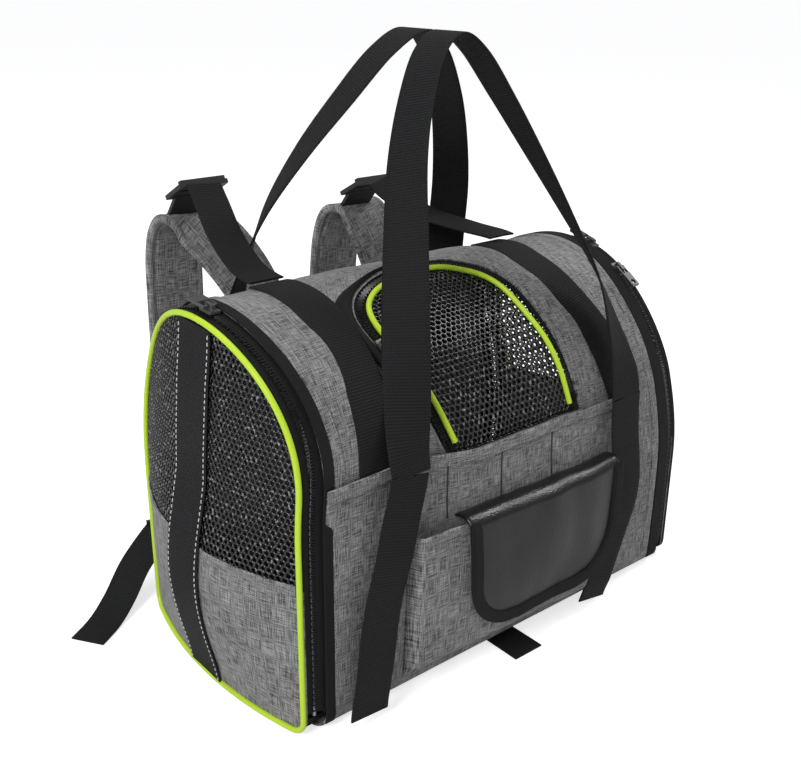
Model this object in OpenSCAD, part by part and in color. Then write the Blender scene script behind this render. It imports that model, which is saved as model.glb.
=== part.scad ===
// Soft-sided pet carrier: an arched fabric tunnel on a stiff base, with a zipped door at each end,
// a zipped window over the front, a flap pocket, two hand loops and two shoulder straps.
// Origin: middle of the underside. X runs along the tunnel, the pocket side faces -Y, Z is up.

/* [Body] */
// Length of the tunnel between its two end seams, along the sides
body_len = 430; // [380:1:480]
// Outside width of the tunnel
body_w = 240; // [220:1:250]
// Outside height of the tunnel
body_h = 320; // [300:1:340]
// How far the middle of each end bows out past its sides
end_bow = 18; // [10:1:22]
// Radius of the two long bottom edges
edge_r = 16; // [14:1:18]
// Thickness of the body fabric with its lining
fabric_t = 2; // [1.5:0.1:2.5]

/* [Base] */
// Thickness of the padded fabric floor
floor_t = 4; // [4:0.5:6]
// Thickness of the stiff board
board_t = 4; // [3:0.5:5]
// Thickness of the loose mat on the board
mat_t = 14; // [8:1:18]

/* [Doors] */
// How far the door outline lies inside the tunnel outline
door_inset = 4; // [3.5:0.5:5]
// Height of the fabric part of each door
skirt_h = 130; // [100:1:160]
// Width of the band up the middle of each door
band_w = 46; // [36:1:56]
// Width of the round edge piping
piping_w = 5; // [4:0.5:6]

/* [Window] */
// Half of the window's width
win_r = 70; // [62:1:72]
// Height from the window's hem line to its top, along the chord
win_h = 163; // [150:1:166]
// Lean of the window towards the near end, in degrees
win_lean = 10; // [0:1:10]

/* [Pocket] */
// Width of the pocket
pocket_w = 252; // [230:1:260]
// Height of the pocket's mouth above the floor
pocket_top = 144; // [130:1:147]
// Depth of the pocket
pocket_d = 10.4; // [8:0.2:11]
// Width of the flap
flap_w = 178; // [150:1:180]
// Height of the flap
flap_h = 104; // [90:1:110]

/* [Straps] */
// Width of the hand loop webbing
web_w = 36; // [30:1:38]
// Thickness of the webbing
web_t = 1.8; // [1.4:0.1:2]
// Distance from the middle to the centre of each loop leg
leg_x = 130; // [126:1:134]
// Height at which the hand loops leave the body
leg_top = 203; // [200:1:205]
// Width of the padded shoulder straps
pad_w = 56; // [48:1:60]
// Thickness of the padded shoulder straps
pad_t = 9; // [6:0.5:10]
// Width of the lower strap webbing
tail_w = 32; // [25:1:34]

/* [Hidden] */
$fn = 96;

half_w = body_w / 2;                 // also the radius of the arch
arch_z = body_h - half_w;            // height of the arch's centre line
seam_w = half_w - 2;                 // half width at which the end bow starts
bow_r = (seam_w * seam_w + end_bow * end_bow) / (2 * end_bow);
long = body_len + 2 * end_bow + 60;  // longer than anything in the tunnel
tape_t = 1.2;
door_t = 2;
zip_low = 22;                        // the end zips stop this far above the floor

// Distances in from the outermost face of a door, along X
lip_end = 7.4;
teeth_a = 7.8;
teeth_b = 10.4;
tape_end = 17;

front_y = -half_w;
leg_y = front_y - 14.2;              // back face of the front loop legs
lime = "#b9eb2d";
grey = "#8c8a88";
black = "#242528";
gunmetal = "#6f7072";

// ---------- helpers ----------
// Cross-section of the tunnel, shrunk by off: drawn as Y to the right and Z up.
module arch_2d(off) {
    side = half_w - off;
    translate([0, arch_z]) circle(r = side, $fn = 180);
    translate([-side, edge_r]) square([2 * side, arch_z - edge_r]);
    translate([-half_w + edge_r, off]) square([2 * (half_w - edge_r), edge_r]);
    for (s = [-1, 1]) translate([s * (half_w - edge_r), edge_r]) circle(r = edge_r - off);
}
module along_x(h) translate([-h / 2, 0, 0]) rotate([90, 0, 90]) linear_extrude(h) children();
module core(off) along_x(long) arch_2d(off);
module tunnel(off, t) {
    difference() {
        core(off);
        along_x(long + 10) arch_2d(off + t);
    }
}
// Plan outline with bowed ends, shrunk along X by off.
module plan(off) {
    c = bow_r - (body_len / 2 + end_bow - off);
    translate([0, 0, -10]) linear_extrude(body_h + 40) intersection() {
        translate([c, 0]) circle(r = bow_r, $fn = 240);
        translate([-c, 0]) circle(r = bow_r, $fn = 240);
        square([long, body_w + 20], center = true);
    }
}
// Slice of the near end between two distances in from its outermost face.
module near_slice(a, b) {
    intersection() {
        difference() {
            plan(a);
            plan(b);
        }
        translate([-long, -body_w, -20]) cube([long, 2 * body_w, body_h + 60]);
    }
}
module above(z) translate([-long, -body_w, z]) cube([2 * long, 2 * body_w, body_h]);
module far() mirror([1, 0, 0]) children();

// Window outline in its own plane: the plane of the chord from the front seam to the apex.
module window_2d(k) {
    centre = win_h - win_r;
    rotate(win_lean) union() {
        translate([0, centre]) circle(r = win_r + k, $fn = 128);
        translate([-win_r - k, -60]) square([2 * (win_r + k), centre + 60]);
    }
}
module above_line(y) translate([-200, y]) square([400, 300]);
module on_window() translate([0, front_y, arch_z]) rotate([45, 0, 0]) translate([0, 0, -12])
    linear_extrude(80) children();
module window_band(outer, inner, low, off, t) {
    intersection() {
        tunnel(off, t);
        on_window() intersection() {
            difference() {
                window_2d(outer);
                window_2d(inner);
            }
            above_line(low);
        }
    }
}

// Flat band swept along a route. Each entry is [x, y, z, turn], where turn is the angle in
// degrees of the band's width from +X towards -Y.
function mix(a, b, u) = a + (b - a) * u;
function spline_at(p, i, u) =
    let (a = p[max(i - 1, 0)], b = p[i], c = p[i + 1], d = p[min(i + 2, len(p) - 1)])
    0.5 * (2 * b + (c - a) * u + (2 * a - 5 * b + 4 * c - d) * u * u
        + (3 * b - a - 3 * c + d) * u * u * u);
function smooth_route(p, n) =
    [for (i = [0 : len(p) - 2], k = [0 : n - 1]) spline_at(p, i, k / n), p[len(p) - 1]];
function xyz(v) = [v[0], v[1], v[2]];
function unit(v) = v / norm(v);
function along(r, i) = unit(xyz(r[min(i + 1, len(r) - 1)]) - xyz(r[max(i - 1, 0)]));
function across(v, t) =
    let (w = [cos(v[3]), -sin(v[3]), 0]) unit(w - (w * t) * t);
function ring_of(r, i, w, h) =
    let (t = along(r, i), a = across(r[i], t), n = cross(t, a))
    [for (c = [[-1, -1], [1, -1], [1, 1], [-1, 1]])
        xyz(r[i]) + a * (c[0] * w / 2) + n * (c[1] * h / 2)];
module band(route, w, h, steps = 4) {
    r = smooth_route(route, steps);
    n = len(r);
    pts = [for (i = [0 : n - 1]) each ring_of(r, i, w, h)];
    last = 4 * (n - 1);
    sides = [for (i = [0 : n - 2], k = [0 : 3])
        let (a = 4 * i + k, b = 4 * i + (k + 1) % 4)
        each [[a, b, b + 4], [a, b + 4, a + 4]]];
    ends = [[3, 2, 1], [3, 1, 0], [last, last + 1, last + 2], [last, last + 2, last + 3]];
    polyhedron(points = pts, faces = concat(ends, sides), convexity = 8);
}
function reversed(route) = [for (i = [len(route) - 1 : -1 : 0]) route[i]];

// ---------- body ----------
module shell_panel() color(grey) difference() {
    intersection() {
        tunnel(0, fabric_t);
        plan(tape_end);
    }
    on_window() intersection() {
        window_2d(7);
        above_line(6);
    }
    translate([-long, -half_w + edge_r, -1]) cube([2 * long, body_w - 2 * edge_r, 8]);
}
module base_panel() color(black) intersection() {
    plan(door_t + 0.6);
    translate([-long, -half_w + edge_r, 0]) cube([2 * long, body_w - 2 * edge_r, floor_t]);
}
module base_board() color("#b08d5b") intersection() {
    plan(12);
    translate([-long, -half_w + edge_r - 2, floor_t])
        cube([2 * long, body_w - 2 * edge_r + 4, board_t]);
}
module base_mat() color("#77767a") intersection() {
    plan(26);
    translate([-long, -half_w + 13, floor_t + board_t]) cube([2 * long, body_w - 26, mat_t]);
}
hoop_in = 8;                         // hoop centre line, in from the tunnel's outside
module hoop() {
    r = half_w - hoop_in;
    translate([-body_len / 2 + 10, 0, 0]) {
        translate([0, 0, arch_z]) rotate([90, 0, 90]) rotate_extrude(angle = 180)
            translate([r, 0]) circle(r = 2, $fn = 24);
        for (s = [-1, 1]) translate([0, s * r, edge_r]) cylinder(r = 2, h = arch_z - edge_r, $fn = 24);
    }
}
module hoop_near() color("#9a9b9d") hoop();
module hoop_far() color("#9a9b9d") far() hoop();

// ---------- end zips ----------
module zip_tape() color(black) intersection() {
    tunnel(fabric_t, tape_t);
    near_slice(teeth_b, tape_end + 5);
    above(zip_low);
}
module zip_teeth() color("#1a1b1c") intersection() {
    tunnel(1.6, door_inset + tape_t - 1.6);
    near_slice(teeth_a, teeth_b);
    above(zip_low);
}
module near_zip_tape() zip_tape();
module near_zip_teeth() zip_teeth();
module far_zip_tape() far() zip_tape();
module far_zip_teeth() far() zip_teeth();

// ---------- end doors ----------
module door_panel(z0, z1) intersection() {
    core(door_inset);
    near_slice(0, door_t);
    translate([-long, -body_w, z0]) cube([long, 2 * body_w, z1 - z0]);
}
module door_mesh() color("#303133") door_panel(skirt_h, body_h);
module door_skirt() color(grey) door_panel(0, skirt_h);
module door_band() color(black) intersection() {
    core(door_inset + piping_w - 1.3);
    near_slice(-1.4, 0);
    translate([-long, -band_w / 2, 0]) cube([long, band_w, body_h]);
}
module door_piping() color(lime) intersection() {
    tunnel(door_inset - 1.5, piping_w);
    near_slice(-2.5, 0);
}
module door_tape() color(black) intersection() {
    tunnel(door_inset, tape_t);
    near_slice(door_t, lip_end);
    above(zip_low);
}
module near_door_mesh() door_mesh();
module near_door_skirt() door_skirt();
module near_door_band() door_band();
module near_door_piping() door_piping();
module near_door_tape() door_tape();
module far_door_mesh() far() door_mesh();
module far_door_skirt() far() door_skirt();
module far_door_band() far() door_band();
module far_door_piping() far() door_piping();
module far_door_tape() far() door_tape();

// ---------- window ----------
zip_base = 14;                       // the window zip stops here, above the hinge hem
module window_zip_tape() color(black) window_band(9, 2.6, zip_base, fabric_t, tape_t);
module window_zip_teeth() color("#1a1b1c") window_band(2.4, -0.2, zip_base, 1, 2.4);
module window_tape() color(black) window_band(-0.6, -5, 8, fabric_t, tape_t);
module window_piping() color(lime) window_band(-3.4, -3.4 - piping_w, 8, -2.5, 4.5);
module window_mesh() color("#303133") intersection() {
    tunnel(fabric_t, tape_t);
    on_window() intersection() {
        window_2d(-5);
        above_line(7.2);
    }
}

// ---------- pocket ----------
pocket_y = front_y - 2 - pocket_d;   // back face of the pocket's front wall
pocket_low = 20;
wall_t = 1.6;
module pocket_back() color(grey)
    translate([-pocket_w / 2, front_y - 1.8, pocket_low]) cube([pocket_w, 1.8, 199 - pocket_low]);
module pocket_front() color(grey) difference() {
    translate([-pocket_w / 2, pocket_y - wall_t, pocket_low])
        cube([pocket_w, pocket_d + wall_t + 0.2, pocket_top - pocket_low]);
    translate([-pocket_w / 2 + wall_t, pocket_y, pocket_low + 2])
        cube([pocket_w - 2 * wall_t, pocket_d + 10, pocket_top]);
}
flap_x = -78;                        // near edge of the flap
flap_y = pocket_y - wall_t - 2.6;    // back face of the flap
fold_z = 150;
module pocket_loop_tape() color(black) translate([flap_x + 49, pocket_y - wall_t - 0.8, 66])
    cube([80, 0.8, 22]);
module flap_2d(k) {
    r = 52;
    translate([flap_x - k, -flap_h + r]) square([flap_w + 2 * k, flap_h - r - 0.4]);
    translate([flap_x + r, -flap_h - k]) square([flap_w - 2 * r, flap_h + k - 0.4]);
    for (s = [0, 1]) translate([flap_x + r + s * (flap_w - 2 * r), -flap_h + r]) circle(r = r + k);
}
module on_flap(t) translate([0, flap_y, fold_z]) rotate([90, 0, 0]) linear_extrude(t) children();
module flap_fold() color("#3a3a3a")
    translate([flap_x, flap_y - 1.8, fold_z]) cube([flap_w, -flap_y + 1.8 + front_y - 1.8, 1.8]);
module flap_leather() color("#3a3a3a") on_flap(1.8) flap_2d(-3);
module flap_binding() color(black) translate([0, 0.3, 0]) on_flap(2.4) difference() {
    flap_2d(0);
    translate([0, 1]) flap_2d(-9);
    translate([flap_x + 9, -flap_h / 2]) square([flap_w - 18, flap_h]);
}
module flap_hook_tape() color(black)
    translate([flap_x + 49, flap_y, 66]) cube([80, 0.9, 22]);

// ---------- loop legs and body webbing ----------
// Webbing sewn flat on a side, through the given centres [x, z], with its back face at y.
module leg(y, line) translate([0, y, 0]) rotate([90, 0, 0]) linear_extrude(web_t)
    polygon(concat([for (p = line) [p[0] - web_w / 2, p[1]]],
        [for (i = [len(line) - 1 : -1 : 0]) [line[i][0] + web_w / 2, line[i][1]]]));
module front_leg_left() color(black)
    leg(leg_y, [[-leg_x - 40, 12], [-leg_x - 28, 110], [-leg_x, leg_top]]);
module front_leg_right() color(black)
    leg(leg_y, [[leg_x - 46, 12], [leg_x + 1, 110], [leg_x, leg_top]]);
module rear_leg_left() color(black) leg(half_w + 0.1 + web_t, [[-leg_x, 12], [-leg_x, leg_top]]);
module rear_leg_right() color(black) leg(half_w + 0.1 + web_t, [[leg_x, 12], [leg_x, leg_top]]);

web_left_x = -150;
web_right_x = 108;
web_back = 24;                       // how far behind the apex the body webbing stays sewn
module top_web(x) color(black) intersection() {
    translate([x - web_w / 2, 0, arch_z]) rotate([90, 0, 90]) linear_extrude(web_w) difference() {
        circle(r = half_w + web_t, $fn = 180);
        circle(r = half_w, $fn = 180);
    }
    translate([-long, -body_w, arch_z]) cube([2 * long, body_w + web_back, body_h]);
}
module top_web_left() top_web(web_left_x);
module top_web_right() top_web(web_right_x);

// ---------- free loops and straps: routes as [x, y, z, turn] ----------
loop_y = leg_y - web_t / 2;
front_half = [[-leg_x, loop_y, 204, 0], [-130, -131, 226, 6], [-122, -119, 260, 26],
    [-107, -99, 305, 48], [-86, -73, 360, 64], [-66, -50, 410, 76], [-45, -34, 452, 84],
    [-23, -24, 486, 88]];
rear_half = [[-leg_x, half_w + 1, 204, 0], [-129, 122, 226, -6], [-124, 116, 262, -26],
    [-116, 105, 308, -44], [-104, 88, 356, -60], [-82, 66, 404, -74], [-55, 44, 448, -84],
    [-27, 29, 484, -88]];
module loop(half, top_y) band(concat(half, [[0, top_y, 500, 90 * sign(-top_y)]],
    [for (p = reversed(half)) [-p[0], p[1], p[2], sign(-top_y) * 180 - p[3]]]), web_w, web_t, 4);
module front_handle() color(black) loop(front_half, -21);
module rear_handle() color(black) loop(rear_half, 21);

root_y = half_w + pad_t / 2 + 0.6;
left_route = [[-77, root_y, 200, 0], [-78, root_y + 6, 235, 0], [-90, 145, 280, 0],
    [-112, 157, 317, 0], [-131, 171, 338, 0], [-136, 184, 329, 0], [-138, 191, 302, 0],
    [-139, 192, 262, 0], [-141, 190, 215, 0], [-145, 188, 165, 0], [-152, 184, 118, 0],
    [-160, 178, 76, 0]];
right_route = [[72, root_y, 200, 0], [72, root_y + 6, 235, 0], [68, 143, 272, 0],
    [61, 153, 303, 0], [55, 168, 323, 0], [49, 184, 318, 0], [44, 191, 295, 0],
    [40, 192, 258, 0], [36, 190, 215, 0], [30, 188, 165, 0], [22, 184, 118, 0],
    [14, 178, 76, 0]];
module left_strap_pad() color(grey) band(left_route, pad_w, pad_t, 4);
module right_strap_pad() color(grey) band(right_route, pad_w, pad_t, 4);

// Ladder lock: a plate with two slots and a thumb lip.
lock_w = 46;
lock_l = 30;
lock_t = 4;
module ladder_lock() {
    difference() {
        translate([-lock_w / 2, -lock_l / 2, 0]) cube([lock_w, lock_l, lock_t]);
        for (y = [-9, 5]) translate([-lock_w / 2 + 4, y, -1]) cube([lock_w - 8, 4, lock_t + 2]);
    }
    translate([-lock_w / 2 + 2, -lock_l / 2, lock_t]) cube([lock_w - 4, 5, 3]);
}
lock_y = 146;
lock_tilt = -28;
// The upper lock, with the tab that sews it to the top of the shoulder strap.
module lifter_lock(x, z) color(black) {
    translate([x, lock_y, z]) rotate([lock_tilt, 0, 0]) ladder_lock();
    translate([x - 17, 0, z]) rotate([90, 0, 90]) linear_extrude(34)
        polygon([[153.5, -5], [156.5, -3], [173, -23], [170, -25]]);
}
left_lock = [-135, 366];
right_lock = [50, 347];
module left_lifter_lock() lifter_lock(left_lock[0], left_lock[1]);
module right_lifter_lock() lifter_lock(right_lock[0], right_lock[1]);
lifter_end_y = lock_y - lock_l / 2 * cos(lock_tilt) - 2.5;
module lifter_web_left() color(black) band([[web_left_x, web_back + 1, arch_z + 118.5, 0],
    [web_left_x, 48, 324, 0], [-146, 84, 341, 0], [left_lock[0] - 4, 116, 362, 0],
    [left_lock[0] - 2, lifter_end_y, left_lock[1] + 9, 0]], 30, web_t, 3);
module lifter_web_right() color(black)
    band([[web_right_x - 4, web_back + 1, arch_z + 118.5, 0], [92, 52, 322, 0], [72, 88, 330, 0],
        [58, 114, 343, 0], [right_lock[0] + 1, lifter_end_y, right_lock[1] + 9, 0]], 30, web_t, 3);

// The lower lock, with the tab that sews it to the bottom of the shoulder strap.
module lower_lock(p, turn) color(black)
    translate([p[0], p[1], 38]) rotate([0, 0, turn]) rotate([82, 0, 0]) {
        ladder_lock();
        translate([-web_w / 2 + 2, lock_l / 2 - 2, 0]) cube([web_w - 4, 32, 2]);
    }
module left_lower_lock() lower_lock([-172, 172], -14);
module right_lower_lock() lower_lock([12, 172], -8);
module left_tail_web() color(black) band([[-180, 166, 50, 30], [-198, 160, 42, 52],
    [-222, 151, 27, 57], [-246, 135, 11, 58], [-268, 120, 2.4, 58], [-292, 104, 1.2, 58]],
    tail_w, 1.6, 4);
// The right strap's free end, where it comes out from under the front edge.
module right_tail_web() color(black)
    translate([-6 - tail_w / 2, -147, 0.3]) cube([tail_w, 40, 1.6]);

// Lower webbing from the back hem to each lower ladder lock, standing on its edge.
module anchor(points) linear_extrude(tail_w - 8) polygon(concat(points,
    [for (i = [len(points) - 1 : -1 : 0]) points[i] + [0.9, 1.4]]));
module left_anchor_web() color(black) translate([0, 0, 4])
    anchor([[-112, half_w + 0.1], [-136, half_w + 6], [-156, half_w + 20], [-166, half_w + 34]]);
module right_anchor_web() color(black) translate([0, 0, 4])
    anchor([[64, half_w + 0.1], [44, half_w + 6], [26, half_w + 22], [16, half_w + 40]]);

// ---------- zip sliders and pulls ----------
slider_l = 15;
pin_z = 4.3;
// Slider on its back at the origin: Z is away from the tape, Y along the zip.
module slider_body(w) difference() {
    union() {
        translate([-w / 2, -slider_l / 2, 0]) cube([w, slider_l, 2.2]);
        translate([-1.6, -5, 2]) cube([3.2, 10, 4.4]);
    }
    translate([-5, 0, pin_z]) rotate([0, 90, 0]) cylinder(r = 1.25, h = 10, $fn = 24);
}
// Pull hanging off the bridge pin along +Y.
module pull_tab(l, w, eye) {
    translate([-w / 2, 0, pin_z]) rotate([0, 90, 0]) cylinder(r = 0.95, h = w, $fn = 24);
    for (s = [-1, 1]) translate([s * (w / 2 - 0.7) - 0.7, -1, 3.3]) cube([1.4, 10, 2]);
    difference() {
        translate([-w / 2, 8.5, 3]) cube([w, l - 8.5, 2.6]);
        if (eye) translate([0, l - w / 2, 0]) cylinder(r = w / 2 - 2, h = 9, $fn = 32);
    }
}
// Places children on an end zip at the given angle down the front from the apex.
slide_r = half_w - 1.6 + 0.7;          // just above the teeth
zip_in = (teeth_a + teeth_b) / 2;
function zip_x(a) = -(body_len / 2 - bow_r + end_bow + sqrt(bow_r * bow_r - pow(slide_r * sin(a), 2)))
    + zip_in;
module on_end_zip(a) translate([zip_x(a), -slide_r * sin(a), arch_z + slide_r * cos(a)])
    rotate([a, 0, 0]) children();
near_at = 3;
far_front_at = 34;
far_back_at = 14;
module near_slider() color(gunmetal) on_end_zip(near_at) slider_body(9);
module near_pull() color(gunmetal) on_end_zip(near_at) pull_tab(20, 12, false);
module far_slider_front() color(gunmetal) far() on_end_zip(far_front_at) slider_body(9);
module far_pull_front() color(gunmetal) far() on_end_zip(far_front_at)
    rotate([0, 0, 180]) pull_tab(24, 9, true);
module far_slider_back() color(gunmetal) far() on_end_zip(far_back_at) slider_body(9);
module far_pull_back() color(gunmetal) far() on_end_zip(far_back_at) pull_tab(24, 9, true);

// The window slider sits on the near leg of the window zip.
win_slide_r = half_w + 0.5;
win_slide_k = 4.2;
win_at = 46;                         // angle up from the front seam
module on_window_zip(a) {
    y = -win_slide_r * cos(a);
    z = win_slide_r * sin(a);
    chord = ((y + half_w) + z) / sqrt(2);
    x = -(win_r + win_slide_k) / cos(win_lean) - chord * tan(win_lean);
    translate([x, y, arch_z + z]) rotate([90 - a, 0, 0]) rotate([0, 0, win_lean]) children();
}
module window_slider() color(gunmetal) on_window_zip(win_at) slider_body(7);
module window_pull() color(gunmetal) on_window_zip(win_at) rotate([0, 0, 180])
    pull_tab(22, 7, true);

shell_panel();
base_panel();
base_board();
base_mat();
hoop_near();
hoop_far();
near_zip_tape();
near_zip_teeth();
far_zip_tape();
far_zip_teeth();
window_zip_tape();
window_zip_teeth();
pocket_back();
pocket_front();
pocket_loop_tape();
flap_fold();
front_leg_left();
front_leg_right();
rear_leg_left();
rear_leg_right();
top_web_left();
top_web_right();
lifter_web_left();
lifter_web_right();
left_anchor_web();
right_anchor_web();
right_tail_web();
near_door_mesh();
near_door_skirt();
near_door_band();
near_door_piping();
near_door_tape();
far_door_mesh();
far_door_skirt();
far_door_band();
far_door_piping();
far_door_tape();
window_mesh();
window_piping();
window_tape();
flap_leather();
flap_binding();
flap_hook_tape();
front_handle();
rear_handle();
left_strap_pad();
left_lifter_lock();
left_lower_lock();
left_tail_web();
right_strap_pad();
right_lifter_lock();
right_lower_lock();
near_slider();
near_pull();
far_slider_front();
far_pull_front();
far_slider_back();
far_pull_back();
window_slider();
window_pull();
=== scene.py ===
"""Looks of the soft pet carrier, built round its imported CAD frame.

Lengths are in mm.
"""

import math

import bpy
import numpy as np
from mathutils import Matrix, Vector, noise


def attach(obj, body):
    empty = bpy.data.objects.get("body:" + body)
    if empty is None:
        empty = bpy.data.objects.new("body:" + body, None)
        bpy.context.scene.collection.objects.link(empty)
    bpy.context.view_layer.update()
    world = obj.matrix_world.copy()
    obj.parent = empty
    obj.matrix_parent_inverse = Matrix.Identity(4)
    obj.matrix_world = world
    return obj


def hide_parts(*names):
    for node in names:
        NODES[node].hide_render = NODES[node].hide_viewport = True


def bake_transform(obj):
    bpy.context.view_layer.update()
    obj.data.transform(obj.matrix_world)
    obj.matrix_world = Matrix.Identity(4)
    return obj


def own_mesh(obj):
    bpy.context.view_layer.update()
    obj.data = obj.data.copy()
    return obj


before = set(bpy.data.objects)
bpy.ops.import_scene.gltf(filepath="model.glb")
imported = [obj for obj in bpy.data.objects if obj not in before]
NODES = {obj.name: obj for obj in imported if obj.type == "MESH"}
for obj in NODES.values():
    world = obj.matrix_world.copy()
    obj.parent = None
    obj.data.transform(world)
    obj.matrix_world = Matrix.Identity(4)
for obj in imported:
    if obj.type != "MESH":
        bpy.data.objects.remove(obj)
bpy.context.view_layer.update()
MM = 0.001
ROOT2 = math.sqrt(2)

# ---------- the carrier's main sizes, as in the CAD ----------
HALF_W = 120.0  # half the tunnel's width
ARCH_Z = 200.0  # height where its arch begins
FOOT_R = 16.0  # rounding of its bottom corners
END_X = 233.0  # outer face of the doors, at the middle
DOOR_HALF, BOW = 118.0, 18.0  # half the width of a bowed end, and how far it bows out
BOW_R = (DOOR_HALF ** 2 + BOW ** 2) / (2 * BOW)
SKIRT_Z = 130.0  # top of a door's fabric skirt
WIN_R, WIN_H, WIN_LEAN = 70.0, 163.0, math.radians(10)
PANEL_Y, POCKET_Y = -121.0, -122.2  # faces of the front panel and pocket
PANEL_X, PANEL_LOW, PANEL_TOP = (-198, 128), 20, 204.0
POCKET_X, POCKET_TOP = 126, 144.0
FLAP_X0, FLAP_W, FLAP_R = -78.0, 178.0, 52.0
LEG_X = 130.0  # roots of the hand loops, either side of the middle
LEG_LOW, LEG_TOP = 12, 204
LOOP_Y, REAR_LEG_Y = -135.1, 121.4
LOOP_W, LOOP_T = 36, 1.8  # webbing of the hand loops and legs
STRAP_W, STRAP_T = 32, 1.6  # webbing of the shoulder straps
ANCHOR_W, ANCHOR_Z = 24, 16
PAD_HALF_W, PAD_HALF_T = 28.0, 4.2
PIPING_R = 2.3

# ---------- how the slack cloth lies, set against the photograph -----------------
FAR_LEAN, FAR_BACK, FAR_DROOP = 32, 13, 14  # top of the far end, along -X, +Y and -Z
NEAR_SIDE, NEAR_TOP = 8, 17  # the near end's lean to the front, at its back side and its top
WINDOW_CORNER, WINDOW_LEAN, WINDOW_SINK = 17, 21, 10  # its near corner and middle to -X, foot down
NEAR_BULGE, FAR_BULGE = 1.0, 0.08  # share of door_bulge
ROOT_IN = 19  # the front loop's right root and the leg under it lie this much further in
RIGHT_WEB_SLANT = 30  # along X, from the front edge of the arch to its top

# ---------- fineness of the mesh, zip and stitches ----------
CELL, HOLE, STRAND = 5.1, 0.70, 1.0  # netting: cell, share of it that is hole, thickness
COIL_PITCH = 2.5
STITCH_PITCH, STITCH_LENGTH, STITCH_WIDE, STITCH_HIGH = 5.0, 3.0, 0.8, 0.5


# ---------- small maths ----------
def smooth(t):
    t = np.clip(t, 0, 1)
    return t * t * (3 - 2 * t)


def unit(v):
    v = np.asarray(v, float)
    return v / np.maximum(np.linalg.norm(v, axis=-1, keepdims=True), 1e-9)


def waves(a, b, scale_a, scale_b, seed=0.0):
    """Smooth noise from -1 to 1 over two coordinates."""
    return np.array([noise.noise((p / scale_a, q / scale_b, seed)) for p, q in zip(a, b)])


def girth(y, z):
    """Distance round the tunnel's section from the floor on the front side."""
    y, z = np.asarray(y, float), np.asarray(z, float)
    angle = np.arctan2(z - ARCH_Z, -y)
    over = ARCH_Z + HALF_W * angle
    back = ARCH_Z + math.pi * HALF_W + (ARCH_Z - z)
    return np.where(z >= ARCH_Z, over, np.where(y < 0, z, back))


def end_x(y, inset):
    """How far out along X the bowed end lies, inset from the doors' outer face."""
    return END_X - inset - BOW_R + np.sqrt(BOW_R ** 2 - np.asarray(y, float) ** 2)


def chord(y, z):
    """Distance up the slope from the front's arch start to the top of the arch."""
    return (y + HALF_W + z - ARCH_Z) / ROOT2


def slump(points):
    """The whole carrier settles: its far end leans in and back, its near end forward."""
    p = np.array(points, float).reshape(-1, 3)
    x, y, z = p[:, 0].copy(), p[:, 1].copy(), p[:, 2].copy()
    far, high = smooth((x - 20) / 210), smooth((z - 110) / 210)
    p[:, 0] -= FAR_LEAN * far * high
    p[:, 1] += FAR_BACK * far * high
    p[:, 2] -= FAR_DROOP * far * smooth((z - 120) / 200)
    near = smooth((-x - 95) / 115)
    at_side = NEAR_SIDE * smooth((y - 10) / 100) * smooth((z - 130) / 130)
    p[:, 1] -= near * (at_side + NEAR_TOP * smooth((z - 165) / 150))
    return p


def soft(points):
    """Where the slack fabric of the tunnel really lies: it leans, sags, bulges and creases."""
    p = np.array(points, float).reshape(-1, 3)
    x, y, z = p[:, 0].copy(), p[:, 1].copy(), p[:, 2].copy()
    c = chord(y, z)
    corner = WINDOW_CORNER * np.exp(-((c - 135) / 34) ** 2)
    p[:, 0] -= corner * smooth((-15 - x) / 45) * smooth((x + 150) / 55)
    lean = np.sin(math.pi * np.clip(c / 165, 0, 1)) ** 0.8
    lean = lean * smooth((x + 150) / 55) * smooth((185 - x) / 75)
    p[:, 0] -= WINDOW_LEAN * lean * (1 - 0.45 * smooth((x - 5) / 60))
    sink = WINDOW_SINK * smooth((x + 125) / 80) * smooth((175 - x) / 45)
    p[:, 2] -= sink * np.exp(-((z - 205) / 50) ** 2) * smooth((-y - 30) / 60)
    slack = np.clip(1 - (x / 207) ** 2, 0, 1) ** 0.8  # none at the ends, where the hoops hold it
    s = girth(y, z)
    crease = 3.0 * waves(x, s, 75, 60, 1.7) + 1.5 * waves(x, s, 26, 48, 5.1)
    side = 5 * np.sin(math.pi * np.clip(z / 215, 0, 1))
    sag = -5 * smooth((z - 235) / 70)
    r = np.hypot(y, z - ARCH_Z)
    up = z > ARCH_Z
    ny = np.where(up, y / np.maximum(r, 1), np.tanh(y / 20))
    nz = np.where(up, (z - ARCH_Z) / np.maximum(r, 1), 0)
    out = slack * (crease + side + sag) * smooth(z / 30)
    p[:, 1] += ny * out
    p[:, 2] += nz * out
    return slump(p)


# ---------- meshes ----------
def cad_arrays(name):
    """A CAD node's welded points in mm and its triangles."""
    mesh = NODES[name].data
    mesh.calc_loop_triangles()
    co = np.array([v.co for v in mesh.vertices], float) / MM
    tri = np.array([t.vertices for t in mesh.loop_triangles], int)
    _, first, back = np.unique(np.round(co, 3), axis=0, return_index=True, return_inverse=True)
    tri = back.reshape(-1)[tri]
    keep = (tri[:, 0] != tri[:, 1]) & (tri[:, 1] != tri[:, 2]) & (tri[:, 2] != tri[:, 0])
    return co[first], tri[keep]


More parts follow.
